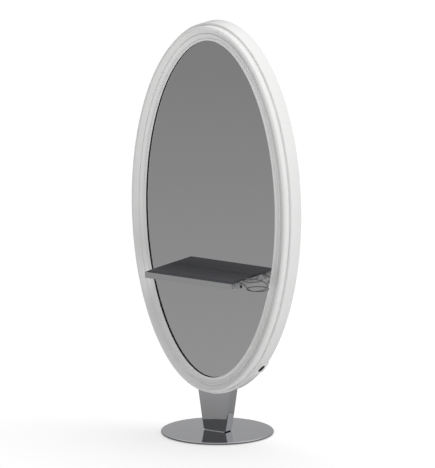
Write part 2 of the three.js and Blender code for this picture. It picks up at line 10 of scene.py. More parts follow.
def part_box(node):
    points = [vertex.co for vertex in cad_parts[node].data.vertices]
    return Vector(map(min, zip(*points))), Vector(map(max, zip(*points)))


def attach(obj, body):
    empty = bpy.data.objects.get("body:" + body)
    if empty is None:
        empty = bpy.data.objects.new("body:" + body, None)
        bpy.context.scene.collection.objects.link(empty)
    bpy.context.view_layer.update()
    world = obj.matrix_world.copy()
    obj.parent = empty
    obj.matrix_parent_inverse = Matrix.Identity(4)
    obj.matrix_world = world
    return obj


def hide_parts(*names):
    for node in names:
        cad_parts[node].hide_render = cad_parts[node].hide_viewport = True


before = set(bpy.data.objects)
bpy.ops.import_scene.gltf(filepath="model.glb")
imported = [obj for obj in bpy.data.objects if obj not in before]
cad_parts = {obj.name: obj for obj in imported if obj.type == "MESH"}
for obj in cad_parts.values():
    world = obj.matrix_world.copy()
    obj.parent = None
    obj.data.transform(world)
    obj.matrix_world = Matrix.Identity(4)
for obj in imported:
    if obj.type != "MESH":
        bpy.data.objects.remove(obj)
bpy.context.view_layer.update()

# ---- sizes read from the frame ------------------------------------------------------------------
BAND_LOW, BAND_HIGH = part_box("side_band")
HALF_WIDTH = (BAND_HIGH.x - BAND_LOW.x) / 2
HALF_HEIGHT = (BAND_HIGH.z - BAND_LOW.z) / 2
CENTRE_Z = (BAND_HIGH.z + BAND_LOW.z) / 2
BAND_FRONT, BAND_BACK = BAND_LOW.y, BAND_HIGH.y
MM = 0.001
GAP = 0.3 * MM
ROUND_STEPS = 288                       # points round the oval
SMOOTH_ANGLE = 32.0                     # degrees: steeper edges stay sharp
ON_AXIS = 1e-9                          # a smaller radius is a point on the axis

# ---- the frame's profile, as in the CAD but for a deeper groove ---------------------------------
BAND_THICK = 11 * MM
CREST_WIDTH, CREST_HEIGHT = 14 * MM, 8 * MM
GROOVE_INSET, GROOVE_Y = 48.5 * MM, -69 * MM
GROOVE_HALF, GROOVE_DEPTH = 1.3 * MM, 3.5 * MM
BEAD_RADIUS, BEAD_RISE = 3 * MM, 2.4 * MM
COVE_END, COVE_END_Y, COVE_HOLLOW = 73 * MM, -60.5 * MM, 2.2 * MM
REBATE_INSET, LIP_INSET = 76.5 * MM, 84.5 * MM
LIP_FRONT, LIP_BACK = -65.5 * MM, -61 * MM

# ---- light levels -------------------------------------------------------------------------------
FRONT_LOWER, FRONT_UPPER = 1.25, 0.03   # soft light from in front, below and above the horizon
BACK_LIGHT = 0.95                       # soft light from behind
ZENITH = 1.3                            # added straight above
NADIR_SHARE, REAR_SHARE = 0.2, 0.5      # what is left straight below and straight behind
LEFT_SHARE, RIGHT_SHARE = 1.2, 1.65     # more of it comes from the sides
FRONT_SKY, BACK_SKY, HIGH_SKY = 0.105, 0.46, 0.6    # what reflections see of the sky
NEAR_FLOOR, FAR_FLOOR = 0.33, 0.235     # what reflections see of the floor
FOOT_SHADE, RIM_SHADE = 0.7, 0.2        # painted shadow in the reflected floor: the share of its glow left near the base and beside its rim
FLOOR_GLOW = 0.42
KEY_POWER = 20                          # watts


# ---- mesh helpers -------------------------------------------------------------------------------
def oval_point(angle, inset):
    """X and Z of the oval at an angle from its +X end, moved inwards by inset."""
    normal = Vector((math.cos(angle) / HALF_WIDTH, math.sin(angle) / HALF_HEIGHT)).normalized()
    x = HALF_WIDTH * math.cos(angle) - inset * normal.x
    z = CENTRE_Z + HALF_HEIGHT * math.sin(angle) - inset * normal.y
    return x, z


def finish_mesh(name, verts, faces, material, body="root", sharp=SMOOTH_ANGLE):
    """An object with outward faces, smooth except over sharp edges, that rides on a body."""
    mesh = bpy.data.meshes.new(name)
    mesh.from_pydata([tuple(v) for v in verts], [], faces)
    bm = bmesh.new()
    bm.from_mesh(mesh)
    bmesh.ops.remove_doubles(bm, verts=bm.verts, dist=1e-7)
    bmesh.ops.recalc_face_normals(bm, faces=bm.faces)
    bm.to_mesh(mesh)
    bm.free()
    piece = bpy.data.objects.new(name, mesh)
    bpy.context.scene.collection.objects.link(piece)
    shade(piece, sharp)
    mesh.materials.append(material)
    if body:
        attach(piece, body)
    return piece


def shade(piece, sharp=SMOOTH_ANGLE):
    piece.data.shade_smooth()
    piece.data.set_sharp_from_angle(angle=math.radians(sharp))


def filleted(corners, steps=5):
    """A closed outline whose corners (x, y, radius) are rounded."""
    outline = []
    count = len(corners)
    most = 0.49                         # share of a side that a fillet may use
    for i, (x, y, radius) in enumerate(corners):
        corner = Vector((x, y))
        if radius == 0:
            outline.append(tuple(corner))
            continue
        before = Vector(corners[i - 1][:2]) - corner
        after = Vector(corners[(i + 1) % count][:2]) - corner
        reach = min(radius, before.length * most, after.length * most)
        start = corner + before.normalized() * reach
        end = corner + after.normalized() * reach
        for k in range(steps + 1):
            t = k / steps
            outline.append(tuple(start * (1 - t) ** 2 + corner * 2 * t * (1 - t) + end * t * t))
    return outline


def round_oval(section):
    """The (inset, y) points of a section, repeated at each step round the oval."""
    verts = []
    for i in range(ROUND_STEPS):
        for inset, y in section:
            x, z = oval_point(2 * math.pi * i / ROUND_STEPS, inset)
            verts.append((x, y, z))
    return verts


def oval_ring(name, section, material):
    """A ring round the oval with a closed section of (inset, y) points."""
    rings = numbered_rings(ROUND_STEPS, len(section))
    faces = skin(zip(rings, rings[1:] + rings[:1]))
    return finish_mesh(name, round_oval(section), faces, material)


def oval_plate(name, edge, material):
    """A flat oval sheet whose edge runs through (inset, y) points from its front to its back."""
    faces = []
    count = len(edge)
    for i in range(ROUND_STEPS):
        a, b = i * count, ((i + 1) % ROUND_STEPS) * count
        for k in range(count - 1):
            faces.append((a + k, a + k + 1, b + k + 1, b + k))
    faces.append([i * count for i in range(ROUND_STEPS)])
    faces.append([i * count + count - 1 for i in range(ROUND_STEPS)])
    return finish_mesh(name, round_oval(edge), faces, material)


def numbered_rings(count, length):
    """The vertex numbers of rings that follow one another."""
    return [list(range(i * length, (i + 1) * length)) for i in range(count)]


def skin(pairs):
    """Faces between pairs of rings of vertex numbers. A ring may be one vertex, repeated."""
    faces = []
    for low, high in pairs:
        for i in range(len(low)):
            m = (i + 1) % len(low)
            corners = [low[i], low[m], high[m], high[i]]
            face = [v for k, v in enumerate(corners) if v not in corners[:k]]
            if len(face) > 2:
                faces.append(face)
    return faces


def turned(name, profile, material, place=Matrix.Identity(4), body="root", steps=96):
    """A turned piece about Z from (radius, z) points. It closes on itself or on the axis."""
    rings = []
    verts = []
    for radius, z in profile:
        if radius < ON_AXIS:
            rings.append([len(verts)] * steps)
            verts.append(place @ Vector((0, 0, z)))
            continue
        rings.append(list(range(len(verts), len(verts) + steps)))
        for i in range(steps):
            angle = 2 * math.pi * i / steps
            verts.append(place @ Vector((radius * math.cos(angle), radius * math.sin(angle), z)))
    pairs = list(zip(rings, rings[1:]))
    if profile[0][0] > ON_AXIS:
        pairs.append((rings[-1], rings[0]))
    return finish_mesh(name, verts, skin(pairs), material, body)


def box_mesh(name, low, high, material, body="root", bevel=0.0):
    """A block, with softened edges where a bevel is given."""
    bm = bmesh.new()
    bmesh.ops.create_cube(bm, size=1.0)
    low, high = Vector(low), Vector(high)
    size = high - low
    for v in bm.verts:
        v.co = Vector((low[i] + (v.co[i] + 0.5) * size[i] for i in range(3)))
    if bevel:
        bmesh.ops.bevel(bm, geom=bm.edges[:], offset=bevel, segments=3, profile=0.5, affect="EDGES")
    verts = [v.co.copy() for v in bm.verts]
    faces = [[v.index for v in f.verts] for f in bm.faces]
    bm.free()
    return finish_mesh(name, verts, faces, material, body, sharp=50.0)


def carve(piece, *cutters, keep_sharp=SMOOTH_ANGLE):
    """Cuts other objects out of a piece and deletes them."""
    for cutter in cutters:
        tool = piece.modifiers.new("cut", "BOOLEAN")
        tool.operation = "DIFFERENCE"
        tool.solver = "EXACT"
        tool.object = cutter
    bpy.context.view_layer.update()
    depsgraph = bpy.context.evaluated_depsgraph_get()
    cut = bpy.data.meshes.new_from_object(piece.evaluated_get(depsgraph))
    piece.modifiers.clear()
    piece.data = cut
    shade(piece, keep_sharp)
    for cutter in cutters:
        bpy.data.objects.remove(cutter)
    return piece


def tube(name, points, radius, material, body, sides=20):
    """A round wire along a smooth list of points, with domed ends."""
    verts = []
    count = len(points)
    tangents = [(points[min(i + 1, count - 1)] - points[max(i - 1, 0)]).normalized() for i in range(count)]
    normal = tangents[0].orthogonal().normalized()
    dome_steps = 4
    tip = 0.02                          # share of the radius left at the end of a dome
    dome = []
    for k in range(dome_steps):
        lift = math.sin(math.pi / 2 * (1 - k / dome_steps))
        dome.append((radius * lift, radius * math.sqrt(1 - lift ** 2)))
    rows = [(points[0] - tangents[0] * lift, tangents[0], size) for lift, size in dome]
    rows += [(point, tangent, radius) for point, tangent in zip(points, tangents)]
    rows += [(points[-1] + tangents[-1] * lift, tangents[-1], size) for lift, size in reversed(dome)]
    for centre, tangent, size in rows:
        normal = (normal - tangent * normal.dot(tangent)).normalized()
        side = tangent.cross(normal)
        size = max(size, radius * tip)
        for i in range(sides):
            angle = 2 * math.pi * i / sides
            verts.append(centre + (normal * math.cos(angle) + side * math.sin(angle)) * size)
    rings = numbered_rings(len(rows), sides)
    faces = skin(zip(rings, rings[1:])) + [rings[0], rings[-1]]
    return finish_mesh(name, verts, faces, material, body, sharp=60.0)


# ---- materials ----------------------------------------------------------------------------------
class Look:
    """A Principled material with its node tree, in object coordinates."""

    NOISE_LOW, NOISE_HIGH = 0.3, 0.7        # the part of a noise's range that is used

    def __init__(self, name, color, roughness, metallic=0.0):
        self.material = bpy.data.materials.new(name)
        self.material.use_nodes = True
        self.nodes = self.material.node_tree.nodes
        self.links = self.material.node_tree.links
        self.shader = self.nodes["Principled BSDF"]
        self.shader.inputs["Base Color"].default_value = (*color, 1.0)
        self.shader.inputs["Roughness"].default_value = roughness
        self.shader.inputs["Metallic"].default_value = metallic
        self.coords = self.nodes.new("ShaderNodeTexCoord")

    def set(self, **values):
        for socket, value in values.items():
            self.shader.inputs[socket.replace("_", " ")].default_value = value
        return self

    def noise(self, scale, detail=3.0, stretch=(1.0, 1.0, 1.0), roughness=0.5):
        mapping = self.nodes.new("ShaderNodeMapping")
        mapping.inputs["Scale"].default_value = stretch
        self.links.new(self.coords.outputs["Object"], mapping.inputs["Vector"])
        noise = self.nodes.new("ShaderNodeTexNoise")
        noise.inputs["Scale"].default_value = scale
        noise.inputs["Detail"].default_value = detail
        noise.inputs["Roughness"].default_value = roughness
        self.links.new(mapping.outputs["Vector"], noise.inputs["Vector"])
        return noise.outputs["Fac"]

    def tint(self, source, dark, light):
        """Base colour between two colours, driven by a texture."""
        node = self.nodes.new("ShaderNodeValToRGB")
        node.color_ramp.elements[0].position = self.NOISE_LOW
        node.color_ramp.elements[0].color = (*dark, 1.0)
        node.color_ramp.elements[1].position = self.NOISE_HIGH
        node.color_ramp.elements[1].color = (*light, 1.0)
        self.links.new(source, node.inputs["Fac"])
        self.links.new(node.outputs["Color"], self.shader.inputs["Base Color"])
        return self

    def rough(self, source, low, high):
        """Roughness between two values, driven by a texture."""
        node = self.nodes.new("ShaderNodeMapRange")
        node.inputs["From Min"].default_value = self.NOISE_LOW
        node.inputs["From Max"].default_value = self.NOISE_HIGH
        node.inputs["To Min"].default_value = low
        node.inputs["To Max"].default_value = high
        self.links.new(source, node.inputs["Value"])
        self.links.new(node.outputs["Result"], self.shader.inputs["Roughness"])
        return self

    def bump(self, source, depth, strength):
        node = self.nodes.new("ShaderNodeBump")
        node.inputs["Distance"].default_value = depth
        node.inputs["Strength"].default_value = strength
        self.links.new(source, node.inputs["Height"])
        self.links.new(node.outputs["Normal"], self.shader.inputs["Normal"])
        return self


def white_lacquer():
    look = Look("white_lacquer", (0.86, 0.86, 0.855), 0.2)
    look.set(Coat_Weight=0.35, Coat_Roughness=0.08)
    look.tint(look.noise(6.0, 4.0), (0.845, 0.845, 0.84), (0.875, 0.875, 0.87))
    look.rough(look.noise(40.0, 3.0), 0.17, 0.24)
    look.bump(look.noise(260.0, 2.0), 0.00006, 0.5)
    return look.material


def chrome_plate(name="chrome", color=(0.85, 0.855, 0.87)):
    look = Look(name, color, 0.06, 1.0)
    dark = tuple(c * 0.97 for c in color)
    look.tint(look.noise(9.0, 5.0), dark, color)
    look.rough(look.noise(30.0, 6.0, roughness=0.7), 0.025, 0.07)
    look.bump(look.noise(900.0, 1.0), 0.000004, 0.4)
    return look.material


# Painted reflection: the wire's chrome has its base colour painted dark to stand in for the dark
# surroundings it reflects.
def chrome_with_painted_dark_reflection():
    look = Look("chrome_with_painted_dark_reflection", (0.3, 0.305, 0.315), 0.1, 1.0)
    look.tint(look.noise(60.0, 4.0), (0.27, 0.275, 0.285), (0.33, 0.335, 0.345))
    look.rough(look.noise(90.0, 5.0, roughness=0.7), 0.06, 0.14)
    look.bump(look.noise(900.0, 1.0), 0.000006, 0.4)
    return look.material


def steel_sheet(name="steel_sheet", smoothest=0.1):
    look = Look(name, (0.84, 0.845, 0.855), 0.16, 1.0)
    grain = look.noise(60.0, 6.0, stretch=(1.0, 30.0, 30.0), roughness=0.65)
    look.tint(grain, (0.81, 0.815, 0.825), (0.87, 0.875, 0.885))
    look.rough(grain, smoothest, smoothest + 0.1)
    look.bump(grain, 0.00001, 0.4)
    return look.material


def silvered_glass():
    look = Look("silvered_glass", (0.865, 0.865, 0.868), 0.01, 1.0)
    look.tint(look.noise(2.0, 2.0), (0.86, 0.86, 0.863), (0.87, 0.87, 0.873))
    look.rough(look.noise(14.0, 5.0, roughness=0.7), 0.004, 0.014)
    return look.material


def dark_laminate():
    look = Look("dark_laminate", (0.08, 0.081, 0.091), 0.5)
    look.tint(look.noise(700.0, 3.0, roughness=0.7), (0.074, 0.075, 0.085), (0.087, 0.088, 0.098))
    look.rough(look.noise(90.0, 4.0), 0.42, 0.56)
    look.bump(look.noise(1400.0, 2.0), 0.00003, 0.4)
    return look.material


def black_rubber():
    look = Look("black_rubber", (0.012, 0.012, 0.012), 0.75)
    look.tint(look.noise(120.0, 4.0), (0.009, 0.009, 0.009), (0.018, 0.018, 0.018))
    look.rough(look.noise(60.0, 4.0), 0.65, 0.85)
    look.bump(look.noise(900.0, 2.0), 0.00004, 0.5)
    return look.material


def powder_coat():
    look = Look("black_powder_coat", (0.02, 0.02, 0.022), 0.45)
    look.tint(look.noise(50.0, 4.0), (0.016, 0.016, 0.018), (0.026, 0.026, 0.029))
    look.rough(look.noise(80.0, 4.0), 0.38, 0.52)
    look.bump(look.noise(1500.0, 2.0), 0.00005, 0.6)
    return look.material


def zinc_plate():
    look = Look("zinc_plate", (0.6, 0.61, 0.6), 0.35, 1.0)
    look.tint(look.noise(160.0, 5.0, roughness=0.7), (0.5, 0.51, 0.5), (0.68, 0.69, 0.68))
    look.rough(look.noise(220.0, 4.0), 0.26, 0.46)
    look.bump(look.noise(1200.0, 2.0), 0.00002, 0.4)
    return look.material


def fibreboard():
    look = Look("fibreboard", (0.36, 0.25, 0.15), 0.9)
    look.tint(look.noise(500.0, 6.0, stretch=(1.0, 3.0, 1.0), roughness=0.8),
              (0.29, 0.195, 0.115), (0.43, 0.31, 0.2))
    look.rough(look.noise(60.0, 3.0), 0.82, 0.96)
    look.bump(look.noise(900.0, 4.0, roughness=0.8), 0.00015, 0.6)
    return look.material


def moulded_plastic(name, color, spread, roughness):
    look = Look(name, color, roughness)
    dark = tuple(c * (1 - spread) for c in color)
    light = tuple(min(c * (1 + spread), 1.0) for c in color)
    look.tint(look.noise(35.0, 4.0), dark, light)
    look.rough(look.noise(90.0, 4.0), roughness - 0.05, roughness + 0.06)
    look.bump(look.noise(1600.0, 2.0), 0.00003, 0.5)
    return look.material


LACQUER = white_lacquer()
CHROME = chrome_plate()
BASE_CHROME = chrome_plate("base_chrome", (0.79, 0.795, 0.83))
WIRE = chrome_with_painted_dark_reflection()
STEEL = steel_sheet()
SATIN_STEEL = steel_sheet("satin_steel", 0.42)
SILVER = silvered_glass()
LAMINATE = dark_laminate()
RUBBER = black_rubber()
POWDER = powder_coat()
ZINC = zinc_plate()
BOARD = fibreboard()
WHITE_PLASTIC = moulded_plastic("white_plastic", (0.84, 0.84, 0.83), 0.015, 0.34)
GREY_PLASTIC = moulded_plastic("grey_plastic", (0.035, 0.036, 0.039), 0.12, 0.42)
COVER_PAINT = moulded_plastic("cover_white", (0.8, 0.8, 0.79), 0.02, 0.42)


# ---- oval frame ---------------------------------------------------------------------------------
def socket_matrix():
    """The socket's own frame: +Z out of the band, +Y the world's, at the outer face of the band."""
    low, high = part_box("socket_well")
    across = (low.y + high.y) / 2
    centre = (low + high) / 2
    depth = 6 * MM                      # of the well's middle
    step = 0.001                        # radians
    quarter = round(math.pi / 2 / step)

    def miss(k):
        x, z = oval_point(k * step, depth)
        return math.hypot(x - centre.x, z - centre.z)

    angle = min(range(-quarter, 0), key=miss) * step
    normal = Vector((math.cos(angle) / HALF_WIDTH, 0, math.sin(angle) / HALF_HEIGHT)).normalized()
    x, z = oval_point(angle, 0)
    turn = Matrix((Vector((0, 1, 0)).cross(normal), (0, 1, 0), normal)).transposed().to_4x4()
    return Matrix.Translation((x, across, z)) @ turn


SOCKET = socket_matrix()


def build_moulding():
    low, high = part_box("outer_moulding")
    outer = BAND_THICK + GAP
    scotia = 1.6 * MM                   # hollow of the outer wall
    seam = 0.6 * MM                     # chamfer where the wall meets the band
    wall_top = low.y + CREST_HEIGHT
    wall_steps = 9
    section = [(outer, high.y), (outer, BAND_FRONT + 2 * MM), (outer + seam, BAND_FRONT)]
    for i in range(1, wall_steps):
        part = i / wall_steps
        section.append((outer + seam * (1 - part) + scotia * math.sin(math.pi * part),
                        BAND_FRONT + (wall_top - BAND_FRONT) * part))
    crest_steps = 14
    for i in range(crest_steps + 1):
        turn = math.pi / 2 * i / crest_steps
        section.append((outer + CREST_WIDTH * (1 - math.cos(turn)),
                        low.y + CREST_HEIGHT * (1 - math.sin(turn))))
    slope_start, slope_y = section[-1]
    slope_end = GROOVE_INSET - GROOVE_HALF
    swell = 0.9 * MM                    # the slope is slightly rounded
    slope_steps = 10
    for i in range(1, slope_steps):
        part = i / slope_steps
        section.append((slope_start + (slope_end - slope_start) * part,
                        slope_y + (GROOVE_Y - slope_y) * part - swell * math.sin(math.pi * part)))
    section += [(slope_end, GROOVE_Y), (slope_end + 0.5 * GROOVE_HALF, GROOVE_Y + 0.4 * GROOVE_DEPTH),
                (GROOVE_INSET, GROOVE_Y + GROOVE_DEPTH), (GROOVE_INSET, high.y)]
    piece = oval_ring("lacquered_moulding", section, LACQUER)
    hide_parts("outer_moulding")


def build_slip():
    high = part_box("inner_slip")[1]
    start = GROOVE_INSET + 0.1 * MM
    steps = 12
    section = [(start, high.y), (start, GROOVE_Y + GROOVE_DEPTH)]
    for i in range(1, steps + 1):
        turn = math.pi * i / steps
        section.append((start + BEAD_RADIUS * (1 - math.cos(turn)), GROOVE_Y - BEAD_RISE * math.sin(turn)))
    cove_start = start + 2 * BEAD_RADIUS
    for i in range(1, steps + 1):
        part = i / steps
        level = GROOVE_Y + (COVE_END_Y - GROOVE_Y) * part
        section.append((cove_start + (COVE_END - cove_start) * part,
                        level + COVE_HOLLOW * math.sin(math.pi * part)))
    lip_half = (LIP_INSET - COVE_END) / 2
    lip_steps = 14
    fall = 1.5 * MM                     # the lip's crest falls towards the glass
    for i in range(1, lip_steps):
        part = i / lip_steps
        turn = math.pi * part
        rise = math.sin(min(turn, math.pi / 2)) ** 0.8
        section.append((COVE_END + lip_half * (1 - math.cos(turn)) * (1 - 0.01 * part),
                        COVE_END_Y + (LIP_FRONT - COVE_END_Y) * rise + fall * part ** 3))
    arris = 0.3 * MM
    section += [(LIP_INSET, LIP_FRONT + 2.2 * MM), (LIP_INSET, LIP_BACK - arris),
                (LIP_INSET - arris, LIP_BACK), (REBATE_INSET, LIP_BACK), (REBATE_INSET, high.y)]
    piece = oval_ring("lacquered_slip", section, LACQUER)
    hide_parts("inner_slip")


def build_band():
    section = filleted([(0, BAND_FRONT, 2.6 * MM), (BAND_THICK, BAND_FRONT, 0.8 * MM),
                        (BAND_THICK, BAND_BACK, 1.0 * MM), (0, BAND_BACK, 6.5 * MM)], steps=8)
    piece = oval_ring("lacquered_side_band", section, LACQUER)
    half, depth = 23.5 * MM, 30 * MM
    hole = box_mesh("hole", (-half, -half, -depth), (half, half, depth), LACQUER, body=None)
    hole.matrix_world = SOCKET
    low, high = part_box("mast")
    room, under, over = 2 * MM, 50 * MM, 100 * MM
    slot_low = (low.x - room, low.y - room, BAND_LOW.z - under)
    slot_high = (high.x + room, high.y + room, BAND_LOW.z + over)
    carve(piece, hole, box_mesh("slot", slot_low, slot_high, LACQUER, body=None))
    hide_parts("side_band")


def build_gasket():
    low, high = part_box("mirror_gasket")
    outer, inner = REBATE_INSET + GAP, LIP_INSET - GAP
    section = filleted([(outer, low.y, 0), (inner, low.y, 0.8 * MM), (inner, high.y, 0.5 * MM),
                        (outer, high.y, 0)])
    piece = oval_ring("mirror_gasket_seal", section, RUBBER)
    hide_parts("mirror_gasket")


def build_rear_cover():
    low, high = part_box("rear_cover")
    inset = BAND_THICK + 2 * GAP
    edge = [(inset, low.y), (inset, high.y - 1.0 * MM), (inset + 0.3 * MM, high.y - 0.3 * MM),
            (inset + 1.0 * MM, high.y)]
    piece = oval_plate("rear_cover_panel", edge, COVER_PAINT)
    inlet_low, inlet_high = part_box("power_inlet")
    centre = (inlet_low + inlet_high) / 2
    half_width, half_height, beyond = 14.3 * MM, 10.3 * MM, 10 * MM
    hole = box_mesh("hole", (centre.x - half_width, low.y - beyond, centre.z - half_height),
                    (centre.x + half_width, high.y + beyond, centre.z + half_height), COVER_PAINT, body=None)
    carve(piece, hole)
    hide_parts("rear_cover")


def cross_cutter(place, size, depth):
    """Two crossed bars, for the recess of a cross-head screw."""
    bars = []
    above = 10 * MM
    for along, across in ((size, size * 0.3), (size * 0.3, size)):
        bar = box_mesh("bar", (-along / 2, -across / 2, -depth), (along / 2, across / 2, above), ZINC,
                       body=None)
        bar.matrix_world = place
        bars.append(bar)
    return bars


def build_cover_screws():
    for i in range(1, 9):
        node = f"rear_cover_screw_{i}"
        low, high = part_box(node)
        centre = (low + high) / 2
        head_height = 2.2 * MM
        seat = high.y - head_height
        place = Matrix.Translation((centre.x, seat, centre.z)) @ Matrix.Rotation(-math.pi / 2, 4, "X")
        profile = [(0, head_height), (1.6 * MM, 2.1 * MM), (2.9 * MM, 1.7 * MM), (3.7 * MM, 1.0 * MM),
                   (4.0 * MM, 0.3 * MM), (3.9 * MM, 0), (2 * MM, 0), (2 * MM, -16 * MM), (0, -16 * MM)]
        head = turned(f"cover_screw_{i}", profile, ZINC, place, steps=40)
        top = place @ Matrix.Translation((0, 0, head_height))
        carve(head, *cross_cutter(top, size=4.2 * MM, depth=1.3 * MM))
        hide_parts(node)


# ---- pedestal and base --------------------------------------------------------------------------
def build_pedestal():
    low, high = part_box("pedestal_shell")
    base_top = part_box("base_disc")[1].z
    foot_half = 65 * MM
    flare = 0.162                       # how far each side leans out per metre of height
    half_depth = (high.y - low.y) / 2
    centre_y = (high.y + low.y) / 2
    corner = 8 * MM
    wall = 3 * MM
    clear = 0.6 * MM                    # under the band
    rows, passes = 24, 12
    bead = 1.4 * MM                     # along the foot

    def outline_at(inset):
        return filleted([(foot_half - inset, half_depth - inset, corner - inset),
                         (inset - foot_half, half_depth - inset, corner - inset),
                         (inset - foot_half, inset - half_depth, corner - inset),
                         (foot_half - inset, inset - half_depth, corner - inset)], steps=10)

    def wall_points(inset, foot_inset):
        grid = []
        for (x, y), (foot_x, foot_y) in zip(outline_at(inset), outline_at(foot_inset)):
            top_x = x
            for _ in range(passes):
                over = 1 - (top_x / (HALF_WIDTH + clear)) ** 2
                top_z = CENTRE_Z - (HALF_HEIGHT + clear) * math.sqrt(over)
                top_x = x + math.copysign(flare, x) * (top_z - base_top)
            column = [(foot_x, foot_y + centre_y, low.z)]
            for r in range(rows):
                z = low.z + bead + (top_z - low.z - bead) * r / (rows - 1)
                column.append((x + math.copysign(flare, x) * (z - base_top), y + centre_y, z))
            grid.append(column)
        return grid

    outer, inner = wall_points(0, -bead), wall_points(wall, wall)
    verts = [p for column in outer + inner for p in column]
    count, tall = len(outer), rows + 1
    faces = []
    for c in range(count):
        n = (c + 1) % count
        for r in range(rows):
            faces.append((c * tall + r, n * tall + r, n * tall + r + 1, c * tall + r + 1))
            a, b = (count + c) * tall, (count + n) * tall
            faces.append((a + r, a + r + 1, b + r + 1, b + r))
        for r in (0, rows):
            faces.append((c * tall + r, n * tall + r, (count + n) * tall + r, (count + c) * tall + r))
    piece = finish_mesh("chromed_pedestal", verts, faces, CHROME, sharp=40.0)
    relief, beyond = 5 * MM, 10 * MM
    sides = []
    for side in (-1, 1):
        left, right = sorted((side * (foot_half - corner), side * (foot_half + corner)))
        sides.append(box_mesh("relief", (left, low.y - beyond, 0), (right, high.y + beyond, low.z + relief),
                              CHROME, body=None))
    carve(piece, *sides, keep_sharp=40.0)
    soft = piece.modifiers.new("soft_edges", "BEVEL")
    soft.width = 0.9 * MM
    soft.segments = 2
    soft.limit_method = "ANGLE"
    soft.angle_limit = math.radians(60)
    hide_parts("pedestal_shell")


def bolt_centres():
    boxes = [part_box(f"base_bolt_{i}") for i in range(1, 5)]
    return [(low + high) / 2 for low, high in boxes]


def build_base():
    low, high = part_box("base_disc")
    radius = high.x
    rim = 5 * MM
    middle, half_thick = (low.z + high.z) / 2, (high.z - low.z) / 2
    rim_steps = 12
    profile = [(0, low.z), (radius - rim, low.z)]
    for i in range(1, rim_steps):
        turn = math.pi * i / rim_steps
        profile.append((radius - rim + rim * math.sin(turn), middle - half_thick * math.cos(turn)))
    profile += [(radius - rim, high.z), (0, high.z)]
    piece = turned("chromed_base_disc", profile, BASE_CHROME, steps=256)
    head_room, shank_room, seat_height = 9.8 * MM, 5.4 * MM, 8 * MM
    below, above = -10 * MM, 30 * MM
    seat = [(0, below), (head_room, below), (head_room, seat_height), (shank_room, seat_height),
            (shank_room, above), (0, above)]
    seats = []
    for centre in bolt_centres():
        place = Matrix.Translation((centre.x, centre.y, 0))
        seats.append(turned("seat", seat, CHROME, place, body=None, steps=48))
    carve(piece, *seats, keep_sharp=40.0)
    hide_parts("base_disc")

    low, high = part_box("base_pad_ring")
    pad_width = 27 * MM
    outer, inner = high.x, high.x - pad_width
    section = filleted([(inner, low.z, 0.4 * MM), (outer, low.z, 0.4 * MM), (outer, high.z, 0.3 * MM),
                        (inner, high.z, 0.3 * MM)], steps=3)
    pad = turned("rubber_pad_ring", section, RUBBER, steps=192)
    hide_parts("base_pad_ring")

    for i, centre in enumerate(bolt_centres(), 1):
        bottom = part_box(f"base_bolt_{i}")[0].z
        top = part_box(f"base_bolt_{i}")[1].z
        place = Matrix.Translation((centre.x, centre.y, 0))
        head = bottom + 5.4 * MM
        head_radius, shank_radius = 9 * MM, 5 * MM
        profile = [(0, bottom), (head_radius - 0.8 * MM, bottom), (head_radius, bottom + 0.8 * MM),
                   (head_radius, head), (shank_radius, head), (shank_radius, top - 0.6 * MM),
                   (shank_radius - 0.6 * MM, top), (0, top)]
        bolt = turned(f"base_screw_{i}", profile, ZINC, place, steps=48)
        key_radius, key_top = 4.6 * MM, bottom + 4 * MM
        hexagon = turned("hexagon", [(0, below), (key_radius, below), (key_radius, key_top), (0, key_top)],
                         ZINC, place, body=None, steps=6)
        carve(bolt, hexagon)
        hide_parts(f"base_bolt_{i}")


# ---- shelf --------------------------------------------------------------------------------------
def build_shelf():
    low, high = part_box("shelf_top")
    slab = box_mesh("shelf_slab", low, high, LAMINATE, bevel=0.5 * MM)
    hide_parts("shelf_top")


# ---- dryer holder -------------------------------------------------------------------------------
def coil_points():
    """The wire's middle line, as in the CAD: a lead, one level ring, a climb and a smaller ring."""
    low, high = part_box("holder_pin")
    pin = (low + high) / 2
    lower = Vector((332, -147, 786)) * MM
    upper = Vector((302, -147, 826)) * MM
    lower_radius, upper_radius = 53.5 * MM, 46 * MM
    rise_start, rise_end, turns_total = 1.0, 1.75, 2.4
    lead_drop, lead_level, lead_settle = 32.4 * MM, 11 * MM, 55 * MM
    across, along = lower.x - pin.x, lower.y - pin.y
    distance = math.hypot(across, along)
    lead_length = math.sqrt(distance ** 2 - lower_radius ** 2)
    start = math.atan2(-along, -across) + math.acos(lower_radius / distance)

    def droop(length):
        share = max(0.0, length - lead_level) / lead_settle
        return lead_drop * max(0.0, 1 - share) ** 1.5

    points = []
    for reach in (4.4 * MM, 11 * MM, 20 * MM, 32 * MM, 46 * MM):
        points.append(Vector((pin.x - reach * math.sin(start), pin.y + reach * math.cos(start),
                              lower.z + droop(reach))))
    per_turn = 18
    for i in range(round(turns_total * per_turn) + 1):
        turns = i / per_turn
        angle = start + turns * 2 * math.pi
        share = min(max((turns - rise_start) / (rise_end - rise_start), 0.0), 1.0)
        climb = share * share * (3 - 2 * share)
        radius = lower_radius + (upper_radius - lower_radius) * climb ** 2
        centre = lower.lerp(upper, climb ** 2)
        height = lower.z + (upper.z - lower.z) * climb
        points.append(Vector((centre.x + radius * math.cos(angle), centre.y + radius * math.sin(angle),
                              height + droop(lead_length + turns * 2 * math.pi * radius))))
    return points


def smoothed(points, steps=8):
    """More points on a Catmull-Rom curve through the given ones."""
    smooth = []
    for i in range(len(points) - 1):
        p0, p1 = points[max(i - 1, 0)], points[i]
        p2, p3 = points[i + 1], points[min(i + 2, len(points) - 1)]
        for k in range(steps):
            t = k / steps
            smooth.append(0.5 * (2 * p1 + (p2 - p0) * t + (2 * p0 - 5 * p1 + 4 * p2 - p3) * t * t
                                 + (3 * p1 - p0 - 3 * p2 + p3) * t ** 3))
    smooth.append(points[-1])
    return smooth


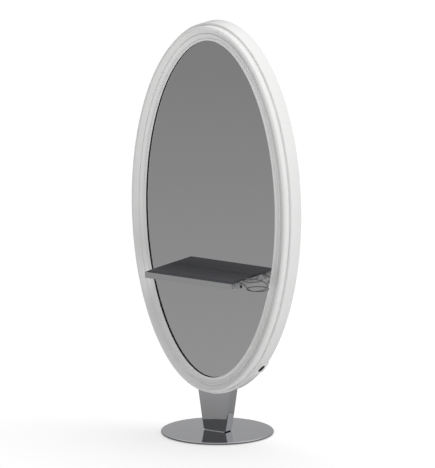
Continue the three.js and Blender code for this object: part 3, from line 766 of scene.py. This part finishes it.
def build_holder():
    wire_radius = 2.5 * MM
    coil = tube("dryer_coil", smoothed(coil_points()), wire_radius, WIRE, "dryer_holder", sides=24)
    low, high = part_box("holder_pin")
    place = Matrix.Translation(((low.x + high.x) / 2, (low.y + high.y) / 2, 0))
    hub_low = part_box("holder_bracket")[1].z + GAP
    hub_high = hub_low + 8.9 * MM
    hub_radius, bore, chamfer = 6 * MM, 3.3 * MM, 0.7 * MM
    sleeve = [(bore, hub_low), (hub_radius - chamfer, hub_low), (hub_radius, hub_low + chamfer),
              (hub_radius, hub_high - chamfer), (hub_radius - chamfer, hub_high), (bore, hub_high)]
    hub = turned("dryer_hub", sleeve, WIRE, place, "dryer_holder", steps=64)
    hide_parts("holder_coil")

    dome = [(0, high.z), (2.4 * MM, high.z - 0.15 * MM), (4.1 * MM, high.z - 0.7 * MM),
            (5 * MM, high.z - 1.5 * MM), (5 * MM, high.z - 2.2 * MM), (3 * MM, high.z - 2.2 * MM),
            (3 * MM, low.z + 0.5 * MM), (2.5 * MM, low.z), (0, low.z)]
    pivot = turned("swivel_pin", dome, CHROME, place, steps=64)
    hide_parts("holder_pin")
    build_knob(place, low.z)


def build_knob(place, pin_end):
    """A friction knob with a fluted grip under the bracket's lug."""
    low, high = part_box("holder_knob")
    radius, bore, flutes, steps = 5.8 * MM, 3.3 * MM, 10, 160
    flute_depth, rounding = 0.45 * MM, 1.0 * MM
    bore_end = pin_end - 0.5 * MM
    rows = [(low.z, None), (low.z, rounding), (low.z + 0.3 * MM, 0.4 * rounding), (low.z + rounding, 0.0),
            (high.z - rounding, 0.0), (high.z - 0.3 * MM, 0.4 * rounding), (high.z, rounding),
            (high.z, bore), (bore_end, bore), (bore_end, None)]
    verts, rings = [], []
    for z, size in rows:
        if size is None:
            rings.append([len(verts)] * steps)
            verts.append(place @ Vector((0, 0, z)))
            continue
        rings.append(list(range(len(verts), len(verts) + steps)))
        for i in range(steps):
            angle = 2 * math.pi * i / steps
            groove = flute_depth * max(0.0, math.cos(flutes * angle)) ** 2
            reach = size if size == bore else radius - size - groove
            verts.append(place @ Vector((reach * math.cos(angle), reach * math.sin(angle), z)))
    knob = finish_mesh("friction_knob", verts, skin(zip(rings, rings[1:])), GREY_PLASTIC, sharp=50.0)
    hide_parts("holder_knob")


# ---- mains socket -------------------------------------------------------------------------------
def build_socket():
    half_x, half_y, corner = 35 * MM, 40 * MM, 9 * MM
    thick, round_over = 5 * MM, 3.2 * MM
    seat = 0.4 * MM
    hole = 21.0 * MM
    steps, edge_steps = 160, 6
    stride, passes = 4 * MM, 40

    def outline(shrink):
        ring = []
        for i in range(steps):
            angle = 2 * math.pi * i / steps
            direction = Vector((math.cos(angle), math.sin(angle)))
            inner_x, inner_y = half_x - corner, half_y - corner
            reach = 0.0
            for _ in range(passes):
                point = direction * reach
                over = Vector((max(abs(point.x) - inner_x, 0), max(abs(point.y) - inner_y, 0))).length
                reach += (corner - shrink - over) if over > 0 else stride
            ring.append(direction * reach)
        return ring

    layers = [[(*p, seat) for p in outline(0)]]
    for k in range(edge_steps + 1):
        turn = math.pi / 2 * k / edge_steps
        height = thick - round_over + round_over * math.sin(turn)
        layers.append([(*p, height) for p in outline(round_over * (1 - math.cos(turn)))])
    for radius, height in ((hole + 1.2 * MM, thick), (hole + 0.35 * MM, thick - 0.3 * MM),
                           (hole, thick - 1.2 * MM), (hole, seat)):
        ring = []
        for i in range(steps):
            angle = 2 * math.pi * i / steps
            ring.append((radius * math.cos(angle), radius * math.sin(angle), height))
        layers.append(ring)
    verts = [SOCKET @ Vector(p) for layer in layers for p in layer]
    rings = numbered_rings(len(layers), steps)
    faces = skin(zip(rings, rings[1:] + rings[:1]))
    plate = finish_mesh("socket_face_plate", verts, faces, WHITE_PLASTIC, sharp=40.0)
    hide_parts("socket_plate")

    outer, inner = 20.6 * MM, 19 * MM
    rim, bottom = 4.6 * MM, -17 * MM
    floor = bottom + 2.2 * MM
    profile = [(0, bottom), (outer, bottom), (outer, rim - 0.5 * MM), (outer - 0.5 * MM, rim),
               (inner + 0.5 * MM, rim), (inner, rim - 0.5 * MM), (inner, floor + 1.5 * MM),
               (inner - 0.5 * MM, floor + 0.4 * MM), (inner - 1.5 * MM, floor), (0, floor)]
    # The cup's near-black plastic also stands in for the shade deep in the recess: painted shade.
    well = turned("socket_cup", profile, GREY_PLASTIC, SOCKET, steps=96)
    pin_radius, pin_depth, pin_offset = 2.5 * MM, 30 * MM, 9.5 * MM
    pin = [(0, -pin_depth), (pin_radius, -pin_depth), (pin_radius, 0), (0, 0)]
    pins = []
    for side in (-1, 1):
        place = SOCKET @ Matrix.Translation((side * pin_offset, 0, 0))
        pins.append(turned("pin", pin, GREY_PLASTIC, place, body=None, steps=32))
    carve(well, *pins)
    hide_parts("socket_well")


# ---- CAD nodes that stay ------------------------------------------------------------------------
def dress(node, material, bevel):
    """Gives a CAD node its material and softened edges."""
    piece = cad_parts[node]
    piece.data.materials.clear()
    piece.data.materials.append(material)
    if bevel:
        soft = piece.modifiers.new("soft_edges", "BEVEL")
        soft.width = bevel
        soft.segments = 2
        soft.limit_method = "ANGLE"
        soft.angle_limit = math.radians(40)


def dress_cad_nodes():
    dress("mirror_glass", SILVER, 0)
    for node in ("mirror_backing", "carcass_board", "rear_batten_long", "rear_batten_short"):
        dress(node, BOARD, 0)
    for node in ("mast", "mast_foot_plate", "carrier_bar_low", "carrier_bar_high", "carrier_bar_shelf"):
        dress(node, POWDER, 0.6 * MM)
    dress("holder_bracket", SATIN_STEEL, 0.8 * MM)
    dress("shelf_tray", STEEL, 0.5 * MM)
    dress("socket_back_box", GREY_PLASTIC, 0.5 * MM)
    dress("power_inlet", GREY_PLASTIC, 0.7 * MM)
    dress("socket_lead", RUBBER, 0)
    small = [f"carrier_screw_{i}" for i in range(1, 5)] + ["shelf_bolt_1", "shelf_bolt_2", "shelf_nut_1",
             "shelf_nut_2", "holder_screw_1", "holder_screw_2", "socket_earth_clip_1", "socket_earth_clip_2"]
    for node in small:
        dress(node, ZINC, 0.3 * MM)


# ---- stage, lights and camera -------------------------------------------------------------------
def stage_plane(name, size, height, material):
    mesh = bpy.data.meshes.new(name)
    mesh.from_pydata([(-size, -size, height), (size, -size, height), (size, size, height),
                      (-size, size, height)], [], [(0, 1, 2, 3)])
    plane = bpy.data.objects.new(name, mesh)
    mesh.materials.append(material)
    bpy.context.scene.collection.objects.link(plane)
    return plane


def build_floor():
    """A pale floor that the camera sees, and a glowing grey one that only reflections see, dimmed near the
    base as a painted shadow.
    """
    size = 90.0
    pale = bpy.data.materials.new("pale_floor")
    pale.use_nodes = True
    shader = pale.node_tree.nodes["Principled BSDF"]
    shader.inputs["Base Color"].default_value = (0.7, 0.7, 0.7, 1)
    shader.inputs["Roughness"].default_value = 0.9
    shader.inputs["Specular IOR Level"].default_value = 0.0
    shader.inputs["Emission Color"].default_value = (1, 1, 1, 1)
    shader.inputs["Emission Strength"].default_value = FLOOR_GLOW
    floor = stage_plane("floor", size, -0.5 * MM, pale)
    floor.visible_glossy = False
    floor.visible_diffuse = False

    grey = bpy.data.materials.new("reflected_floor")
    grey.use_nodes = True
    nodes, links = grey.node_tree.nodes, grey.node_tree.links
    nodes.clear()
    coords = nodes.new("ShaderNodeTexCoord")
    length = nodes.new("ShaderNodeVectorMath")
    length.operation = "LENGTH"
    links.new(coords.outputs["Object"], length.inputs[0])
    strengths = []
    # Glow of the reflected floor: it fades with distance, and dims near the base and beside its rim as a
    # painted shadow.
    for start, stop, low, high in ((1.0, 9.0, NEAR_FLOOR, FAR_FLOOR), (0.3, 1.1, FOOT_SHADE, 1.0),
                                   (0.275, 0.32, RIM_SHADE, 1.0)):
        fade = nodes.new("ShaderNodeMapRange")
        for socket, value in zip(("From Min", "From Max", "To Min", "To Max"), (start, stop, low, high)):
            fade.inputs[socket].default_value = value
        links.new(length.outputs["Value"], fade.inputs["Value"])
        strengths.append(fade.outputs["Result"])
    strength = strengths[0]
    for factor in strengths[1:]:
        product = nodes.new("ShaderNodeMath")
        product.operation = "MULTIPLY"
        links.new(strength, product.inputs[0])
        links.new(factor, product.inputs[1])
        strength = product.outputs["Value"]
    glow = nodes.new("ShaderNodeEmission")
    out = nodes.new("ShaderNodeOutputMaterial")
    links.new(strength, glow.inputs["Strength"])
    links.new(glow.outputs["Emission"], out.inputs["Surface"])
    card = stage_plane("reflected_floor", size, -1.0 * MM, grey)
    card.visible_camera = False
    card.visible_diffuse = False
    card.visible_shadow = False
    card.visible_transmission = False
    return floor


def build_world():
    """White to the camera, soft studio light for diffuse rays and a darker sky in reflections."""
    world = bpy.data.worlds.new("studio")
    bpy.context.scene.world = world
    world.use_nodes = True
    nodes, links = world.node_tree.nodes, world.node_tree.links
    nodes.clear()
    coords = nodes.new("ShaderNodeTexCoord")
    axes = nodes.new("ShaderNodeSeparateXYZ")
    links.new(coords.outputs["Generated"], axes.inputs["Vector"])

    def mapped(source, start, stop, low, high):
        node = nodes.new("ShaderNodeMapRange")
        node.interpolation_type = "SMOOTHSTEP"
        for name, value in zip(("From Min", "From Max", "To Min", "To Max"), (start, stop, low, high)):
            node.inputs[name].default_value = value
        links.new(source, node.inputs["Value"])
        return node.outputs["Result"]

    def combined(operation, first, second):
        node = nodes.new("ShaderNodeMath")
        node.operation = operation
        links.new(first, node.inputs[0])
        links.new(second, node.inputs[1])
        return node.outputs["Value"]

    ahead = mapped(axes.outputs["Z"], -0.4, 0.4, FRONT_LOWER, FRONT_UPPER)
    side = nodes.new("ShaderNodeMix")
    links.new(mapped(axes.outputs["Y"], -0.3, 0.3, 0.0, 1.0), side.inputs["Factor"])
    links.new(ahead, side.inputs["A"])
    side.inputs["B"].default_value = BACK_LIGHT
    shares = combined("MULTIPLY", mapped(axes.outputs["X"], -0.9, -0.1, LEFT_SHARE, 1.0),
                      mapped(axes.outputs["X"], 0.1, 0.9, 1.0, RIGHT_SHARE))
    shares = combined("MULTIPLY", shares, mapped(axes.outputs["Z"], -1.0, -0.6, NADIR_SHARE, 1.0))
    shares = combined("MULTIPLY", shares, mapped(axes.outputs["Y"], 0.4, 0.95, 1.0, REAR_SHARE))
    soft = combined("ADD", combined("MULTIPLY", side.outputs["Result"], shares),
                    mapped(axes.outputs["Z"], 0.55, 0.95, 0.0, ZENITH))
    seen = combined("ADD", mapped(axes.outputs["Y"], -0.6, 0.6, FRONT_SKY, BACK_SKY),
                    mapped(axes.outputs["Z"], 0.35, 0.9, 0.0, HIGH_SKY))
    rays = nodes.new("ShaderNodeLightPath")
    pick = nodes.new("ShaderNodeMix")
    links.new(rays.outputs["Is Glossy Ray"], pick.inputs["Factor"])
    links.new(soft, pick.inputs["A"])
    links.new(seen, pick.inputs["B"])
    camera_pick = nodes.new("ShaderNodeMix")
    links.new(rays.outputs["Is Camera Ray"], camera_pick.inputs["Factor"])
    links.new(pick.outputs["Result"], camera_pick.inputs["A"])
    camera_pick.inputs["B"].default_value = 1.0
    background = nodes.new("ShaderNodeBackground")
    links.new(camera_pick.outputs["Result"], background.inputs["Strength"])
    out = nodes.new("ShaderNodeOutputWorld")
    links.new(background.outputs["Background"], out.inputs["Surface"])


def area_light(name, place, aim, size, power):
    lamp = bpy.data.lights.new(name, "AREA")
    lamp.shape = "RECTANGLE"
    lamp.size, lamp.size_y = size
    lamp.energy = power
    lamp_object = bpy.data.objects.new(name, lamp)
    lamp_object.location = place
    lamp_object.rotation_euler = (Vector(aim) - Vector(place)).to_track_quat("-Z", "Y").to_euler()
    bpy.context.scene.collection.objects.link(lamp_object)
    return lamp_object


def build_lights(floor):
    key = area_light("softbox_above", place=(1.6, -1.3, 3.6), aim=(0, 0, 1.0), size=(1.5, 1.5),
                     power=KEY_POWER)
    spared = bpy.data.collections.new("not_lit_by_softbox")
    spared.objects.link(floor)
    spared.collection_objects[0].light_linking.link_state = "EXCLUDE"
    key.light_linking.receiver_collection = spared
    key.visible_glossy = False


def build_camera():
    azimuth, elevation = math.radians(33.53), math.radians(12.55)
    distance = 61.3
    target = Vector((0.0007, 0.0, 0.991))
    view_height = 2.2743
    back = Vector((math.sin(azimuth) * math.cos(elevation), -math.cos(azimuth) * math.cos(elevation),
                   math.sin(elevation)))
    data = bpy.data.cameras.new("camera")
    data.sensor_width = 36.0
    data.lens = data.sensor_width * distance / view_height
    data.clip_start, data.clip_end = 1.0, 200.0
    camera = bpy.data.objects.new("camera", data)
    camera.location = target + back * distance
    camera.rotation_euler = (-back).to_track_quat("-Z", "Y").to_euler()
    bpy.context.scene.collection.objects.link(camera)
    bpy.context.scene.camera = camera


build_camera()
build_moulding()
build_slip()
build_band()
build_gasket()
build_rear_cover()
build_cover_screws()
build_pedestal()
build_base()
build_shelf()
build_holder()
build_socket()
dress_cad_nodes()
pale_floor = build_floor()
build_world()
build_lights(pale_floor)
bpy.context.scene.view_settings.view_transform = "Standard"
